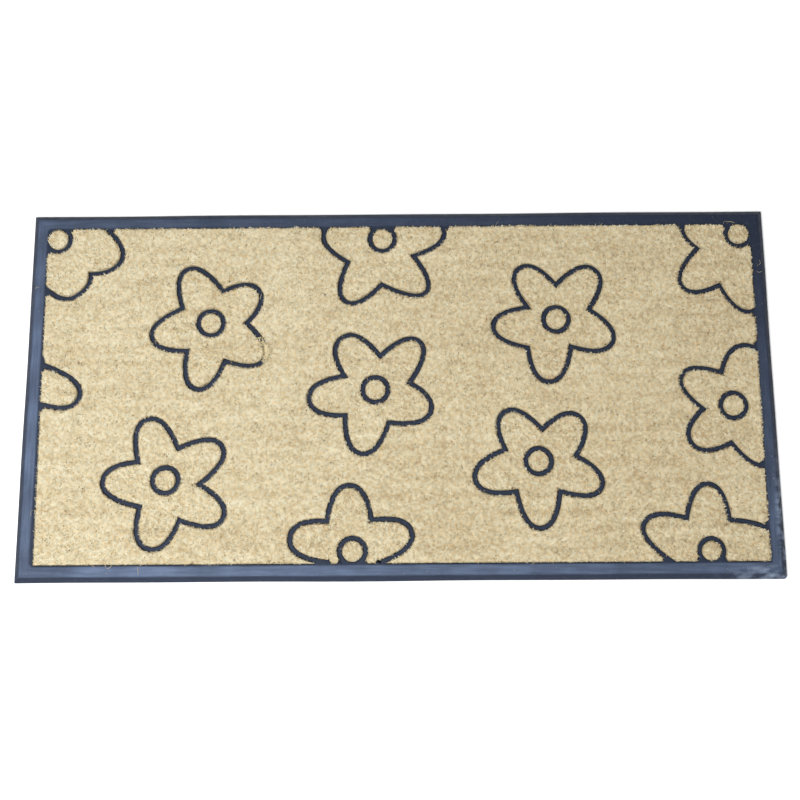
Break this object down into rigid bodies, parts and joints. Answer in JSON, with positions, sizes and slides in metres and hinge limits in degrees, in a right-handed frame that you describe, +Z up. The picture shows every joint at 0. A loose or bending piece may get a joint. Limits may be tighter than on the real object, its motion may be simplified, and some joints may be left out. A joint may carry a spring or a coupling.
{
  "type": "door mat",
  "caption": "Rectangular coir door mat in a moulded rubber tray with a bevelled border and raised flower outlines.",
  "frame": {"origin": "middle of the underside, on the floor", "axes": "+X along the length towards the right-hand end, +Y across the width towards the far long side, +Z up out of the pile"},
  "size_m": [0.9, 0.45, 0.015],
  "materials": {
    "rubber": "matt moulded rubber, slightly dusty blue-grey",
    "coir": "matt cut pile of pale straw-coloured coconut fibre"
  },
  "bodies": {
    "root": {"rubber_tray": "rubber", "coir_field": "coir", "coir_flower_top_left": "coir", "coir_centre_top_left": "coir", "coir_flower_upper_left": "coir", "coir_centre_upper_left": "coir", "coir_flower_top_middle": "coir", "coir_centre_top_middle": "coir", "coir_flower_upper_right": "coir", "coir_centre_upper_right": "coir", "coir_flower_top_right": "coir", "coir_centre_top_right": "coir", "coir_flower_left_edge": "coir", "coir_flower_middle": "coir", "coir_centre_middle": "coir", "coir_flower_right_edge": "coir", "coir_centre_right_edge": "coir", "coir_flower_lower_left": "coir", "coir_centre_lower_left": "coir", "coir_flower_lower_right": "coir", "coir_centre_lower_right": "coir", "coir_flower_bottom_middle": "coir", "coir_centre_bottom_middle": "coir", "coir_flower_bottom_right": "coir", "coir_centre_bottom_right": "coir"}
  },
  "joints": []
}
